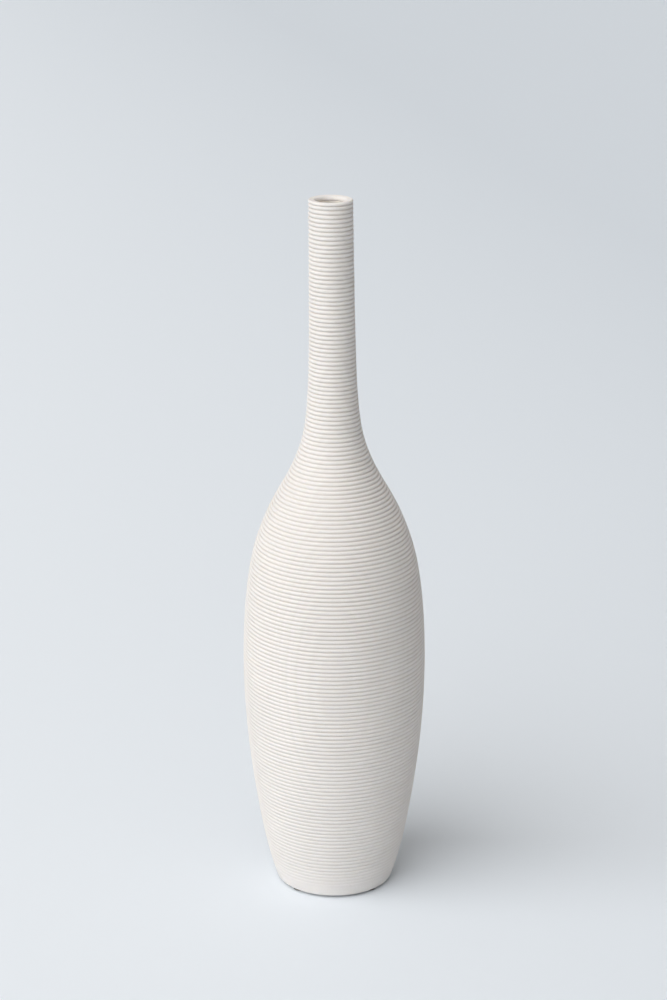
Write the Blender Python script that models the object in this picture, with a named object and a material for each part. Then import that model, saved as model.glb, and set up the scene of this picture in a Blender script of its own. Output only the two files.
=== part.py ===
"""Tall ceramic bud vase with a narrow neck, a glaze lining and four felt foot pads.

Units are metres and +Z is up. The origin is on the surface that the vase stands on,
in the middle of its foot. Every round piece is turned about the Z axis.
"""

import math

import bmesh
import bpy
from mathutils import Matrix, Vector

# ---- driving dimensions -------------------------------------------------------

HEIGHT = 0.350            # surface that the vase stands on, to the top of the lip
PAD_THICKNESS = 0.0010
PAD_RADIUS = 0.0040
PAD_COUNT = 4
SEAT_GAP = 0.0003         # clearance between pieces that touch

# Outer side of the vase, from the surface that it stands on up to the lip: height,
# radius, and change of radius with height. A cubic joins each place to the next.
SIDE = (
    (0.000, 0.0287, 0.36),     # foot
    (0.050, 0.0398, 0.155),
    (0.118, 0.0452, 0.0),      # widest part of the belly
    (0.165, 0.0419, -0.155),
    (0.208, 0.0263, -0.59),    # shoulder
    (0.240, 0.0138, -0.14),    # root of the neck
    (0.275, 0.0115, -0.02),
    (HEIGHT, 0.0107, -0.01),   # lip
)

WALL = 0.0024             # fired clay wall, measured square to the surface
GLAZE = 0.0005            # glaze lining
GLAZE_START = 0.0022      # from the top of the lip down to the lining's edge

FOOT_EDGE = 0.0010        # rounding between the side and the foot ring
FOOT_RING_INNER = 0.0195  # the flat ring runs from here out to the rounding
RECESS_DEPTH = 0.0025     # how far the underside is pushed up in its middle
FLOOR_THICKNESS = 0.0040
FLOOR_CORNER = 0.0060     # rounding between the inner wall and the inner floor

SEGMENTS = 40             # facets around the turned pieces
SIDE_ROWS = 30            # facets from the foot to the lip
ARC_ROWS = 4              # facets along a rounded edge
PAD_SEGMENTS = 24
PAD_EDGE = 0.0002

# ---- values that follow from them ---------------------------------------------

FOOT_Z = PAD_THICKNESS + SEAT_GAP
FLOOR_Z = FOOT_Z + RECESS_DEPTH + FLOOR_THICKNESS
MOUTH_RADIUS = SIDE[-1][1]


# ---- profile ------------------------------------------------------------------

def side_radius(z):
    """Outer radius and its change with height, at height z."""
    for (z0, r0, flare0), (z1, r1, flare1) in zip(SIDE, SIDE[1:]):
        if z <= z1:
            break
    span = z1 - z0
    t = (z - z0) / span
    radius = (
        (2 * t**3 - 3 * t**2 + 1) * r0
        + (t**3 - 2 * t**2 + t) * span * flare0
        + (3 * t**2 - 2 * t**3) * r1
        + (t**3 - t**2) * span * flare1
    )
    flare = (
        (6 * t**2 - 6 * t) * (r0 - r1) / span
        + (3 * t**2 - 4 * t + 1) * flare0
        + (3 * t**2 - 2 * t) * flare1
    )
    return radius, flare


def inside(z, depth):
    """Point that lies depth under the outer side, square to it at height z."""
    radius, flare = side_radius(z)
    tilt = math.atan(flare)
    return radius - depth * math.cos(tilt), z + depth * math.sin(tilt)


def side_line(depth, low, high):
    """Points depth under the outer side, from height low up to height high."""
    return [
        inside(low + (high - low) * row / SIDE_ROWS, depth)
        for row in range(SIDE_ROWS + 1)
    ]


def arc(centre, radius, start, end):
    """Points from the angle start to the angle end, in degrees, both included."""
    points = []
    for step in range(ARC_ROWS + 1):
        angle = math.radians(start + (end - start) * step / ARC_ROWS)
        points.append((
            centre[0] + radius * math.cos(angle),
            centre[1] + radius * math.sin(angle),
        ))
    return points


def rounded_corner(depth, bottom, radius):
    """Arc from a level floor at height bottom up into the side line at depth.

    Returns the arc's points and the height at which the side line takes over.
    """
    tilt = math.atan(side_radius(bottom)[1])
    takeover = bottom + radius - (depth + radius) * math.sin(tilt)
    tilt = math.atan(side_radius(takeover)[1])
    centre = inside(takeover, depth + radius)
    return arc(centre, radius, -90.0, -math.degrees(tilt)), takeover


def cavity_line(depth, top):
    """Inner line of the vase, depth inside the clay: axis, floor, side, up to top."""
    corner, takeover = rounded_corner(
        WALL + depth, FLOOR_Z + depth, FLOOR_CORNER - depth
    )
    side = side_line(WALL + depth, takeover, top)
    return [(0.0, corner[0][1])] + corner[:-1] + side


# ---- solids -------------------------------------------------------------------

def material(name, colour, roughness):
    """Principled material with a plain colour."""
    made = bpy.data.materials.new(name)
    made.use_nodes = True
    shader = made.node_tree.nodes["Principled BSDF"]
    shader.inputs["Base Color"].default_value = (*colour, 1.0)
    shader.inputs["Roughness"].default_value = roughness
    shader.inputs["Metallic"].default_value = 0.0
    made.diffuse_color = (*colour, 1.0)
    return made


def add_object(name, mesh, finish):
    """Object in the scene, shaded smooth away from its sharp edges."""
    mesh.materials.append(finish)
    mesh.shade_smooth()
    mesh.set_sharp_from_angle(angle=math.radians(35))
    made = bpy.data.objects.new(name, mesh)
    bpy.context.scene.collection.objects.link(made)
    return made


def turned(name, outline, finish):
    """Solid of revolution whose outline starts and ends on the axis."""
    mesh = bpy.data.meshes.new(name)
    shape = bmesh.new()
    points = [shape.verts.new((radius, 0.0, z)) for radius, z in outline]
    edges = [shape.edges.new(pair) for pair in zip(points, points[1:])]
    bmesh.ops.spin(
        shape,
        geom=points + edges,
        cent=(0.0, 0.0, 0.0),
        axis=(0.0, 0.0, 1.0),
        angle=2 * math.pi,
        steps=SEGMENTS,
        use_merge=True,
    )
    bmesh.ops.remove_doubles(shape, verts=shape.verts, dist=1e-6)
    bmesh.ops.recalc_face_normals(shape, faces=shape.faces)
    shape.to_mesh(mesh)
    shape.free()
    return add_object(name, mesh, finish)


def build_vase_body():
    """Clay shell: side, rounded foot edge, foot ring, raised underside, cavity."""
    foot_arc, foot_takeover = rounded_corner(0.0, FOOT_Z, FOOT_EDGE)
    lip_radius = WALL / 2
    lip_z = HEIGHT - lip_radius
    underside = []
    for step in range(2 * ARC_ROWS + 1):
        radius = FOOT_RING_INNER * step / (2 * ARC_ROWS)
        rise = (1 + math.cos(math.pi * step / (2 * ARC_ROWS))) / 2
        underside.append((radius, FOOT_Z + RECESS_DEPTH * rise))
    outer = foot_arc[:-1] + side_line(0.0, foot_takeover, lip_z)
    lip = arc((MOUTH_RADIUS - lip_radius, lip_z), lip_radius, 0.0, 180.0)
    inner = cavity_line(0.0, lip_z)
    outline = underside + outer + lip[1:-1] + inner[::-1]
    clay = material("bisque_clay", (0.86, 0.84, 0.82), 0.72)
    return turned("vase_body", outline, clay)


def build_glaze_lining():
    """Thin watertight lining on the cavity's wall and floor, open at the mouth."""
    top = HEIGHT - GLAZE_START
    outer = cavity_line(SEAT_GAP, top)
    inner = cavity_line(SEAT_GAP + GLAZE, top)
    glaze = material("lining_glaze", (0.80, 0.72, 0.62), 0.22)
    return turned("glaze_lining", outer + inner[::-1], glaze)


def build_foot_pads():
    """Round felt pads under the flat foot ring, evenly spaced."""
    felt = material("pad_felt", (0.10, 0.085, 0.06), 0.95)
    foot_arc, _ = rounded_corner(0.0, FOOT_Z, FOOT_EDGE)
    pad_circle = (FOOT_RING_INNER + foot_arc[0][0]) / 2
    for number in range(PAD_COUNT):
        mesh = bpy.data.meshes.new(f"foot_pad_{number + 1}")
        shape = bmesh.new()
        bmesh.ops.create_cone(
            shape,
            cap_ends=True,
            segments=PAD_SEGMENTS,
            radius1=PAD_RADIUS,
            radius2=PAD_RADIUS,
            depth=PAD_THICKNESS,
            matrix=Matrix.Translation((0.0, 0.0, PAD_THICKNESS / 2)),
        )
        shape.to_mesh(mesh)
        shape.free()
        pad = add_object(f"foot_pad_{number + 1}", mesh, felt)
        angle = 2 * math.pi * (number + 0.5) / PAD_COUNT
        pad.location = Vector((math.cos(angle), math.sin(angle), 0.0)) * pad_circle
        edge = pad.modifiers.new("soft_edge", "BEVEL")
        edge.width = PAD_EDGE
        edge.segments = 2


def main():
    for old in list(bpy.data.objects):
        bpy.data.objects.remove(old, do_unlink=True)
    build_vase_body()
    build_glaze_lining()
    build_foot_pads()


main()
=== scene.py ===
"""Looks of the ribbed ceramic bud vase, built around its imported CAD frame.

Units are metres and +Z is up. The vase is turned about the Z axis.
"""

import math

import bpy
import numpy as np
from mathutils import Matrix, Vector, noise


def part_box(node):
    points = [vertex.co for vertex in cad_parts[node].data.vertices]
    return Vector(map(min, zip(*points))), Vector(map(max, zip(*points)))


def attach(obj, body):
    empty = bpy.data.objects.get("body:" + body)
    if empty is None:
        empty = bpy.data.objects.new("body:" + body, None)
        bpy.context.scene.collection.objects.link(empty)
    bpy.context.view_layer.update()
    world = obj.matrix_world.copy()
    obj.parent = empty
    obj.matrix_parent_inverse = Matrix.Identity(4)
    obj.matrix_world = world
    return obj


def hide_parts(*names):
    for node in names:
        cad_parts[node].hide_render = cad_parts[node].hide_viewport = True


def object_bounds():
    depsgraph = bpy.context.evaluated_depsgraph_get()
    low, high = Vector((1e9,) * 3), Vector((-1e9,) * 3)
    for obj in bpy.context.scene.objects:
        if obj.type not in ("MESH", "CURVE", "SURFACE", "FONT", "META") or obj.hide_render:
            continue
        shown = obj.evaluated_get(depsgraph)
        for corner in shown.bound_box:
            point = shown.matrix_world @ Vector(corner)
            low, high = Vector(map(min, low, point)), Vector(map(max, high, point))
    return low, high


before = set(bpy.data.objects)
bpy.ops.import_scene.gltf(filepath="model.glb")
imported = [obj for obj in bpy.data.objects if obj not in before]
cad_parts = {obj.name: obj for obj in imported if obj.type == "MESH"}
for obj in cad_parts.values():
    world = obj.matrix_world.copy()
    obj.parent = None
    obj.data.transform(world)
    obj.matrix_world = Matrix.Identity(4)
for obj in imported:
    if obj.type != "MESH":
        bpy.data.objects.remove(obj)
cad_low, cad_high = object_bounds()

# ---- the shape, as the CAD has it ---------------------------------------------

HEIGHT = cad_high.z
FOOT_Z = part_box("vase_body")[0].z
BELLY_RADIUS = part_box("vase_body")[1].x
SIDE = (                  # height, radius, change of radius with height
    (0.000, 0.0287, 0.36),
    (0.050, 0.0398, 0.155),
    (0.118, BELLY_RADIUS, 0.0),
    (0.165, 0.0419, -0.155),
    (0.208, 0.0263, -0.59),
    (0.240, 0.0138, -0.14),
    (0.275, 0.0115, -0.02),
    (HEIGHT, 0.0107, -0.01),
)
MOUTH_RADIUS = SIDE[-1][1]
WALL = 0.0024
RECESS_DEPTH = 0.0025
FOOT_RING_INNER = 0.0195
FOOT_EDGE = 0.0010
LINING_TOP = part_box("glaze_lining")[1].z
LINING_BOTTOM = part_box("glaze_lining")[0].z
LINING_GAP = 0.0003
GLAZE = 0.0005
FLOOR_CORNER = 0.0060

# ---- detail that the CAD leaves out -------------------------------------------

SEGMENTS = 88             # round the turned pieces
UNDERSIDE_ROWS = 12
BAND_ROWS = 5             # plain band between the foot's edge and the ribs
EDGE_ROWS = 6             # foot's rounded edge
EDGE_DROP = 0.6           # of FOOT_EDGE, the height that its centre is taken from
LENGTH_ROWS = 4001        # for measuring along the outer side
RIB_PITCH = 0.00208       # along the surface
RIB_DEPTH = 0.0007
RIB_FIRST = 0.00155       # from the top of the lip down to the first groove
RIB_LAST = 0.0066         # height of the last groove
FADE_RIBS = 70            # the lowest ribs, which get shallower towards the foot
FADE_DEPTH = 0.60         # of the full depth, left at the foot
LAST_DEPTH = 0.40         # of that, at the very last groove
LAST_RISE = 0.10          # and more of it for each groove above the last
RIB_STEPS = (0.0, 0.12, 0.30, 0.50, 0.70, 0.88)
RIB_ROUNDNESS = 2.2       # higher makes the crests flatter and the grooves narrower
RIB_DRIFT = 0.10          # of the pitch, by which a groove strays
DRIFT_RATE = 0.23         # how fast the drift changes from groove to groove
DRIFT_ROW = 3.1           # line through the noise that the drift is read from
SKIN = 0.00005            # the surface stays this far inside the CAD's
WOBBLE = 0.00004          # unevenness left by casting and fettling
BROAD_SWELL = (1.7, 55)   # scale of the unevenness round the piece and up it
FINE_SWELL = (6, 480)
BORE = 0.0067             # radius of the mouth's opening
LIP_BEAD = 0.00075        # rounding of the lip's outer edge
LIP_ROLL = 0.0018         # rounding of the lip's inner edge
LIP_DIP = 0.00002         # how far that inner rounding lies under the top
LIP_CREASE = (MOUTH_RADIUS - 0.0011, HEIGHT - 0.00012)
LIP_ROWS = 10
LIP_STEP = 0.0004         # from under the lip down to the cavity's wall
LEAN = 0.0013             # how far the mouth stands off the axis
LEAN_FROM = 0.150         # height at which the neck starts to lean
LEAN_BEND = 1.5           # higher puts more of the bend near the mouth
LIP_GAP = 0.0001          # between the lip and the lining under it
CAVITY_ROWS = 44
CORNER_ROWS = 8
CORNER_DROP = 0.75        # of the corner's radius, like EDGE_DROP
CORNER_STEP = 0.001       # from the corner up to the first row of the wall
POOL_HEIGHT = 0.0060      # below the lining's edge, where its glaze has pooled
POOL_DEPTH = 0.0008
POOL_BEND = 2.5           # higher keeps the pooled glaze nearer to the edge
POOL_ROWS = 12
RIM_ROWS = 8              # lining's rounded edge
PAD_COUNT = 4
PAD_EDGE = 0.0002
PAD_ROWS = 4
PAD_FUZZ = 0.00008        # unevenness of a pad's edge

# ---- light --------------------------------------------------------------------

KEY_RISE = 42.0           # degrees above the floor
KEY_FRONT = 43.0          # degrees from the left towards the front
KEY_WIDTH = 70.0          # degrees across
KEY_POWER = 2.5
KEY_COLOUR = (0.995, 0.995, 1.0)
SKY_LOW = 0.05            # brightness at the horizon
SKY_HIGH = 0.62           # and straight overhead
SKY_COLOUR = (1.0, 0.98, 0.96)
FLOOR_RADIUS = 9.0
FLOOR_ROWS = 12
# floor colour: painted light falloff, lighter at the left and darker at the right
FLOOR_PAINTED_LIT = (0.830, 0.872, 0.912)
FLOOR_PAINTED_SHADE = (0.650, 0.695, 0.740)
FLOOR_SLANT = (1.0, 0.25, 0.0)       # direction in which the painted light falloff darkens the floor
FLOOR_FADE = (-0.3, 0.7)             # metres along it, from left to right
WALL_FOOT = -0.01         # height of the backdrop's lower edge
WALL_COLOUR = (0.68, 0.72, 0.755)

# ---- camera and materials -----------------------------------------------------

LENS = 91.9               # millimetres
CAMERA_PLACE = (-0.0002, -1.182, 0.594)
CAMERA_TILT = 18.39       # degrees below level
CAMERA_ROLL = 0.10
SCATTER = (1.0, 0.75, 0.5)           # how far red, green and blue go under the surface


def side(z):
    """Outer radius and its change with height, at height z."""
    for (z0, r0, flare0), (z1, r1, flare1) in zip(SIDE, SIDE[1:]):
        if z <= z1:
            break
    span = z1 - z0
    t = (z - z0) / span
    radius = (
        (2 * t**3 - 3 * t**2 + 1) * r0
        + (t**3 - 2 * t**2 + t) * span * flare0
        + (3 * t**2 - 2 * t**3) * r1
        + (t**3 - t**2) * span * flare1
    )
    flare = (
        (6 * t**2 - 6 * t) * (r0 - r1) / span
        + (3 * t**2 - 4 * t + 1) * flare0
        + (3 * t**2 - 2 * t) * flare1
    )
    return radius, flare


def inside(z, depth):
    """Point that lies depth under the outer side, square to it at height z."""
    radius, flare = side(z)
    tilt = math.atan(flare)
    return radius - depth * math.cos(tilt), z + depth * math.sin(tilt)


def arc(centre, radius, start, end, steps):
    """Points from the angle start to the angle end, in degrees, both included."""
    points = []
    for step in range(steps + 1):
        angle = math.radians(start + (end - start) * step / steps)
        points.append((
            centre[0] + radius * math.cos(angle),
            centre[1] + radius * math.sin(angle),
        ))
    return points


def run_lengths(low, high, count):
    """Heights from high down to low, and the length of surface down to each."""
    heights = np.linspace(high, low, count)
    radii = np.array([side(z)[0] for z in heights])
    steps = np.hypot(np.diff(heights), np.diff(radii))
    return heights, np.concatenate([[0.0], np.cumsum(steps)])


def lean(z):
    """How far the vase's middle stands off the axis at height z, towards -X."""
    above = min(1.0, max(0.0, (z - LEAN_FROM) / (HEIGHT - LEAN_FROM)))
    return -LEAN * above ** LEAN_BEND


def drifted(groove):
    """Number of a groove, moved by its small drift."""
    return groove + RIB_DRIFT * noise.noise(Vector((groove * DRIFT_RATE, DRIFT_ROW, 0.0)))


def ribbed_side():
    """Outer side from the first groove down to the last.

    Returns (radius, height, depth below the crests) for each row, top to bottom.
    """
    heights, lengths = run_lengths(RIB_LAST, HEIGHT - RIB_FIRST, LENGTH_ROWS)
    ribs = round(lengths[-1] / RIB_PITCH)
    pitch = lengths[-1] / ribs
    rows = []
    for rib in range(ribs):
        start, end = drifted(rib), drifted(rib + 1)
        to_foot = ribs - rib
        full = RIB_DEPTH * (FADE_DEPTH + (1 - FADE_DEPTH) * min(1.0, to_foot / FADE_RIBS))
        full *= min(1.0, LAST_DEPTH + LAST_RISE * to_foot)
        for step in RIB_STEPS:
            z = float(np.interp((start + (end - start) * step) * pitch, lengths, heights))
            depth = full * abs(2 * step - 1) ** RIB_ROUNDNESS
            rows.append((*inside(z, SKIN + depth), depth))
    return rows


def swollen(x, y, z, uneven):
    """How far a point in direction (x, y) at height z swells out: broad, then fine."""
    broad, fine = (
        noise.noise(Vector((x * across, y * across, z * up)))
        for across, up in (BROAD_SWELL, FINE_SWELL)
    )
    return uneven * broad + 0.5 * uneven * fine


def turned(name, rows, uneven=0.0, middle=(0.0, 0.0)):
    """Mesh object of rows (radius, height, groove depth) turned about middle.

    Rows run down the outer side. A row on the axis becomes a single point.
    """
    verts, faces, grooves, rings = [], [], [], []
    for radius, z, depth in rows:
        first = len(verts)
        if radius == 0.0:
            verts.append((middle[0], middle[1], z))
        else:
            for segment in range(SEGMENTS):
                angle = 2 * math.pi * segment / SEGMENTS
                x, y = math.cos(angle), math.sin(angle)
                reach = radius + swollen(x, y, z, uneven)
                verts.append((middle[0] + reach * x + lean(z), middle[1] + reach * y, z))
        rings.append(range(first, len(verts)))
        grooves += [depth] * len(rings[-1])
    for upper, lower in zip(rings, rings[1:]):
        for i in range(SEGMENTS):
            j = (i + 1) % SEGMENTS
            if len(upper) == 1:
                faces.append((upper[0], lower[i], lower[j]))
            elif len(lower) == 1:
                faces.append((upper[i], lower[0], upper[j]))
            else:
                faces.append((upper[i], lower[i], lower[j], upper[j]))
    mesh = bpy.data.meshes.new(name)
    mesh.from_pydata(verts, [], faces)
    groove = mesh.attributes.new("groove", "FLOAT", "POINT")
    groove.data.foreach_set("value", np.array(grooves, np.float32) / RIB_DEPTH)
    mesh.shade_smooth()
    made = bpy.data.objects.new(name, mesh)
    bpy.context.scene.collection.objects.link(made)
    return made


# ---- materials ----------------------------------------------------------------

def material(name):
    """Principled material, its node tree, and its shader."""
    made = bpy.data.materials.new(name)
    made.use_nodes = True
    shader = made.node_tree.nodes["Principled BSDF"]
    return made, made.node_tree, shader


def grain(tree, scale, detail=3.0, squash=1.0):
    """Noise in the piece's own space, squashed along Z; returns its value, 0 to 1."""
    place = tree.nodes.new("ShaderNodeTexCoord")
    stretch = tree.nodes.new("ShaderNodeMapping")
    stretch.inputs["Scale"].default_value = (1.0, 1.0, squash)
    texture = tree.nodes.new("ShaderNodeTexNoise")
    texture.inputs["Scale"].default_value = scale
    texture.inputs["Detail"].default_value = detail
    tree.links.new(place.outputs["Object"], stretch.inputs["Vector"])
    tree.links.new(stretch.outputs["Vector"], texture.inputs["Vector"])
    return texture.outputs["Fac"]


def spread(tree, value, low, high, start=0.35, end=0.65):
    """Value that runs from start to end, spread from low to high and held there."""
    ramp = tree.nodes.new("ShaderNodeMapRange")
    ramp.inputs["From Min"].default_value = start
    ramp.inputs["From Max"].default_value = end
    ramp.inputs["To Min"].default_value = low
    ramp.inputs["To Max"].default_value = high
    tree.links.new(value, ramp.inputs["Value"])
    return ramp.outputs["Result"]


def blend(tree, factor, first, second):
    """Colour between two, each a colour or another node's output."""
    mix = tree.nodes.new("ShaderNodeMix")
    mix.data_type = "RGBA"
    tree.links.new(factor, mix.inputs["Factor"])
    for socket, colour in ((mix.inputs[6], first), (mix.inputs[7], second)):
        if isinstance(colour, tuple):
            socket.default_value = (*colour, 1.0)
        else:
            tree.links.new(colour, socket)
    return mix.outputs[2]


def bumps(tree, shader, heights):
    """Chain of bumps, each a value and its height in metres, into the shader."""
    below = None
    for value, distance in heights:
        bump = tree.nodes.new("ShaderNodeBump")
        bump.inputs["Distance"].default_value = distance
        tree.links.new(value, bump.inputs["Height"])
        if below:
            tree.links.new(below, bump.inputs["Normal"])
        below = bump.outputs["Normal"]
    tree.links.new(below, shader.inputs["Normal"])


def clay():
    """Unglazed white clay: grooves darkened by painted shade and dust, crests left plain, faint
    cloudiness, fine grit.
    """
    made, tree, shader = material("bisque_clay")
    shader.inputs["Specular IOR Level"].default_value = 0.35
    shader.inputs["Subsurface Weight"].default_value = 0.12
    shader.inputs["Subsurface Radius"].default_value = SCATTER
    shader.inputs["Subsurface Scale"].default_value = 0.004
    groove = tree.nodes.new("ShaderNodeAttribute")
    groove.attribute_name = "groove"
    # painted shade and dust: the deeper the groove, the darker and warmer the colour
    groove_shade_and_dust = spread(tree, groove.outputs["Fac"], 0.0, 1.0, 0.10, 1.0)
    cloud = spread(tree, grain(tree, 38.0, 4.0), 0.0, 1.0)
    specks = spread(tree, grain(tree, 1500.0, 2.0), 0.0, 0.35, 0.62, 0.74)
    turning = grain(tree, 90.0, 3.0, 18.0)
    body = blend(tree, cloud, (0.830, 0.791, 0.757), (0.800, 0.765, 0.733))
    speckled = blend(tree, specks, body, (0.70, 0.65, 0.59))
    # grooves darkened towards (0.660, 0.608, 0.562): painted shade and dust
    shaded_grooves = blend(tree, groove_shade_and_dust, speckled, (0.660, 0.608, 0.562))
    tree.links.new(shaded_grooves, shader.inputs["Base Color"])
    rough = spread(tree, grain(tree, 420.0, 4.0), 0.66, 0.84, 0.30, 0.70)
    tree.links.new(rough, shader.inputs["Roughness"])
    bumps(tree, shader, (
        (turning, 0.00006),
        (grain(tree, 700.0, 5.0), 0.00009),
        (grain(tree, 2600.0, 3.0), 0.00005),
    ))
    return made


def glaze():
    """Clear warm glaze over the clay, set lighter as painted light for the shaded inside: pooled
    tint, faint ripples, a few pinholes.
    """
    made, tree, shader = material("lining_glaze")
    shader.inputs["Coat Weight"].default_value = 0.35
    shader.inputs["Coat Roughness"].default_value = 0.10
    shader.inputs["Subsurface Weight"].default_value = 0.20
    shader.inputs["Subsurface Radius"].default_value = SCATTER
    shader.inputs["Subsurface Scale"].default_value = 0.003
    pooled = spread(tree, grain(tree, 120.0, 4.0), 0.0, 1.0, 0.3, 0.7)
    pinholes = spread(tree, grain(tree, 1100.0, 1.0), 0.0, 1.0, 0.20, 0.30)
    # warm glaze tint, made lighter than the clay as painted light lifting the shade inside the
    # neck
    tint = blend(tree, pooled, (0.95, 0.89, 0.81), (0.91, 0.84, 0.75))
    tree.links.new(tint, shader.inputs["Base Color"])
    rough = spread(tree, grain(tree, 260.0, 3.0), 0.18, 0.34, 0.3, 0.7)
    tree.links.new(rough, shader.inputs["Roughness"])
    bumps(tree, shader, ((grain(tree, 180.0, 2.0), 0.00012), (pinholes, 0.00004)))
    return made


def felt():
    """Dark brown pressed felt with matted fibres."""
    made, tree, shader = material("pad_felt")
    shader.inputs["Sheen Weight"].default_value = 0.30
    shader.inputs["Sheen Roughness"].default_value = 0.60
    shader.inputs["Specular IOR Level"].default_value = 0.20
    matted = spread(tree, grain(tree, 900.0, 5.0), 0.0, 1.0)
    fibres = grain(tree, 3200.0, 4.0, 0.35)
    tint = blend(tree, matted, (0.065, 0.053, 0.035), (0.135, 0.113, 0.078))
    tree.links.new(tint, shader.inputs["Base Color"])
    tree.links.new(spread(tree, fibres, 0.86, 1.0, 0.3, 0.7), shader.inputs["Roughness"])
    bumps(tree, shader, ((matted, 0.00010), (fibres, 0.00015)))
    return made


# ---- pieces -------------------------------------------------------------------

def finish(made, look, node):
    """Give a piece its material and its place in the frame."""
    made.data.materials.append(look)
    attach(made, "root")
    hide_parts(node)


def cavity(depth, top):
    """Inner line of the vase, depth inside the clay: middle of the floor up to top."""
    floor_z = LINING_BOTTOM - LINING_GAP + depth
    radius = FLOOR_CORNER - depth
    centre = inside(floor_z + radius * CORNER_DROP, WALL + depth + radius)
    takeover = math.degrees(-math.atan(side(floor_z + radius)[1]))
    corner = arc((centre[0], floor_z + radius), radius, -90, takeover, CORNER_ROWS)
    rows = [(0.0, floor_z, 0.0), (centre[0] * 0.5, floor_z, 0.0)]
    rows += [(r, z, 0.0) for r, z in corner]
    start = corner[-1][1] + CORNER_STEP
    for step in range(CAVITY_ROWS + 1):
        z = start + (top - start) * step / CAVITY_ROWS
        rows.append((*inside(z, WALL + depth), 0.0))
    return rows


def underside():
    """Raised middle of the foot, from the axis out to the foot ring."""
    rows = []
    for step in range(UNDERSIDE_ROWS + 1):
        radius = FOOT_RING_INNER * step / UNDERSIDE_ROWS
        rise = (1 + math.cos(math.pi * step / UNDERSIDE_ROWS)) / 2
        rows.append((radius, FOOT_Z + RECESS_DEPTH * rise, 0.0))
    return rows


def foot_band():
    """Rounded foot edge, and the plain band from it up to the lowest groove."""
    centre = inside(FOOT_Z + EDGE_DROP * FOOT_EDGE, FOOT_EDGE + SKIN)
    tilt = math.degrees(math.atan(side(FOOT_Z)[1]))
    edge = arc((centre[0], FOOT_Z + FOOT_EDGE), FOOT_EDGE, -90, -tilt, EDGE_ROWS)
    rows = [(r, z, 0.0) for r, z in edge]
    low = FOOT_Z + FOOT_EDGE
    high = RIB_LAST - RIB_PITCH / 4
    for step in range(1, BAND_ROWS + 1):
        rows.append((*inside(low + (high - low) * step / BAND_ROWS, SKIN), 0.0))
    return rows


def lip():
    """Outer bead, flat top and rolled inner edge, down to the lining's edge."""
    outer = (MOUTH_RADIUS - SKIN - LIP_BEAD, HEIGHT - LIP_BEAD)
    inner = (BORE + LIP_ROLL, HEIGHT - LIP_ROLL - LIP_DIP)
    points = arc(outer, LIP_BEAD, -50, 100, LIP_ROWS) + [LIP_CREASE]
    points += arc(inner, LIP_ROLL, 90, 180, LIP_ROWS)
    under = LINING_TOP + LIP_GAP
    points += [(BORE, under), (inside(under, WALL)[0], under)]
    return [(r, z, 0.0) for r, z in points]


def build_body():
    """Clay body: underside, foot, ribbed side, lip, and the cavity's wall and floor."""
    rows = underside() + foot_band() + ribbed_side()[::-1] + lip()
    rows += cavity(0.0, LINING_TOP + LIP_GAP - LIP_STEP)[::-1]
    made = turned("ribbed_body", rows[::-1], WOBBLE)
    finish(made, clay(), "vase_body")


def build_lining():
    """Glaze coat on the cavity, with a rounded edge just under the lip."""
    round_z = LINING_TOP - GLAZE / 2
    outer = cavity(LINING_GAP, round_z)
    inner = cavity(LINING_GAP + GLAZE, round_z - POOL_HEIGHT)
    for step in range(1, POOL_ROWS + 1):
        z = round_z - POOL_HEIGHT * (1 - step / POOL_ROWS)
        pooled = POOL_DEPTH * (step / POOL_ROWS) ** POOL_BEND
        inner.append((*inside(z, WALL + LINING_GAP + GLAZE + pooled), 0.0))
    middle = (outer[-1][0] + inner[-1][0]) / 2
    half = (outer[-1][0] - inner[-1][0]) / 2
    edge = []
    for step in range(1, RIM_ROWS):
        angle = math.pi * step / RIM_ROWS
        radius = middle + half * math.cos(angle)
        edge.append((radius, round_z + GLAZE / 2 * math.sin(angle), 0.0))
    rows = outer + edge + inner[::-1]
    made = turned("glaze_coat", rows[::-1])
    finish(made, glaze(), "glaze_lining")


def build_pads():
    """Felt pads with a soft, slightly uneven edge."""
    look = felt()
    for number in range(1, PAD_COUNT + 1):
        node = f"foot_pad_{number}"
        low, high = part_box(node)
        middle = (low + high) / 2
        radius = (high.x - low.x) / 2 - PAD_FUZZ
        edge = arc((radius - PAD_EDGE, low.z + PAD_EDGE), PAD_EDGE, -90, 0, PAD_ROWS)
        edge += arc((radius - PAD_EDGE, high.z - PAD_EDGE), PAD_EDGE, 0, 90, PAD_ROWS)
        rows = [(0.0, low.z, 0.0), (radius * 0.5, low.z, 0.0)]
        rows += [(r, z, 0.0) for r, z in edge]
        rows += [(radius * 0.5, high.z, 0.0), (0.0, high.z, 0.0)]
        made = turned(f"felt_pad_{number}", rows[::-1], PAD_FUZZ, (middle.x, middle.y))
        finish(made, look, node)


# ---- studio -------------------------------------------------------------------

def aim(made, place, target):
    """Put a light at place and point it at target."""
    made.location = place
    made.rotation_euler = (Vector(target) - Vector(place)).to_track_quat("-Z", "Y").to_euler()


def build_floor():
    """Wide pale disc, seen up to the top of the picture, with painted light falloff from left to
    right.
    """
    rings = [FLOOR_RADIUS * (step / FLOOR_ROWS) ** 2 for step in range(FLOOR_ROWS + 1)]
    made = turned("floor", [(radius, 0.0, 0.0) for radius in rings])
    paper, tree, shader = material("floor_paper")
    shader.inputs["Roughness"].default_value = 0.9
    place = tree.nodes.new("ShaderNodeTexCoord")
    slant = tree.nodes.new("ShaderNodeVectorMath")
    slant.operation = "DOT_PRODUCT"
    slant.inputs[1].default_value = FLOOR_SLANT
    tree.links.new(place.outputs["Object"], slant.inputs[0])
    # painted light falloff across the floor
    across = spread(tree, slant.outputs["Value"], 0.0, 1.0, *FLOOR_FADE)
    tree.links.new(blend(tree, across, FLOOR_PAINTED_LIT, FLOOR_PAINTED_SHADE), shader.inputs["Base Color"])
    shader.inputs["Specular IOR Level"].default_value = 0.1
    made.data.materials.append(paper)


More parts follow.
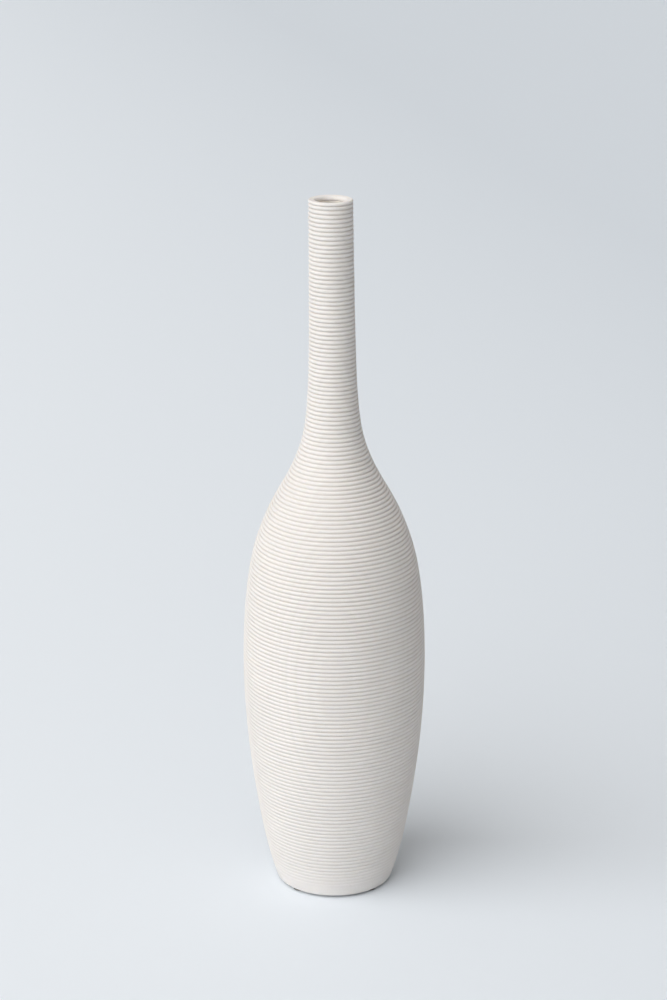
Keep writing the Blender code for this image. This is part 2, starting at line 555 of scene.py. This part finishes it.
def build_backdrop():
    """Pale wall past the floor's edge, for low views. It lights and shades nothing."""
    made = turned("backdrop", [(FLOOR_RADIUS, WALL_FOOT, 0.0), (FLOOR_RADIUS, FLOOR_RADIUS, 0.0)])
    paper, _, shader = material("backdrop_paper")
    shader.inputs["Base Color"].default_value = (0.0, 0.0, 0.0, 1.0)
    shader.inputs["Roughness"].default_value = 1.0
    shader.inputs["Specular IOR Level"].default_value = 0.0
    shader.inputs["Emission Color"].default_value = (*WALL_COLOUR, 1.0)
    shader.inputs["Emission Strength"].default_value = 1.0
    made.data.materials.append(paper)
    made.visible_shadow = False
    made.visible_diffuse = False
    made.visible_glossy = False
    made.visible_transmission = False


def build_light():
    """Wide soft light from the upper left, and a sky that is brighter overhead."""
    data = bpy.data.lights.new("key", "SUN")
    data.angle = math.radians(KEY_WIDTH)
    data.energy = KEY_POWER
    data.color = KEY_COLOUR
    key = bpy.data.objects.new("key", data)
    bpy.context.scene.collection.objects.link(key)
    rise, round_front = math.radians(KEY_RISE), math.radians(KEY_FRONT)
    aim(key, (
        -math.cos(rise) * math.cos(round_front),
        -math.cos(rise) * math.sin(round_front),
        math.sin(rise),
    ), (0.0, 0.0, 0.0))
    world = bpy.data.worlds.new("studio")
    world.use_nodes = True
    tree = world.node_tree
    background = tree.nodes["Background"]
    background.inputs["Color"].default_value = (*SKY_COLOUR, 1.0)
    place = tree.nodes.new("ShaderNodeTexCoord")
    split = tree.nodes.new("ShaderNodeSeparateXYZ")
    tree.links.new(place.outputs["Generated"], split.inputs["Vector"])
    sky = spread(tree, split.outputs["Z"], SKY_LOW, SKY_HIGH, 0.0, 1.0)
    tree.links.new(sky, background.inputs["Strength"])
    bpy.context.scene.world = world
    bpy.context.scene.view_settings.view_transform = "Standard"


def build_camera():
    """Long lens above the mouth's height, looking down at the middle of the vase."""
    data = bpy.data.cameras.new("camera")
    data.lens = LENS
    data.clip_start = 0.05
    data.clip_end = 20
    made = bpy.data.objects.new("camera", data)
    bpy.context.scene.collection.objects.link(made)
    made.location = CAMERA_PLACE
    tilt = math.radians(CAMERA_TILT)
    look = Vector((0.0, math.cos(tilt), -math.sin(tilt)))
    made.rotation_euler = look.to_track_quat("-Z", "Y").to_euler()
    made.rotation_euler.rotate_axis("Z", math.radians(-CAMERA_ROLL))
    bpy.context.scene.camera = made


build_camera()
build_body()
build_lining()
build_pads()
build_floor()
build_backdrop()
build_light()
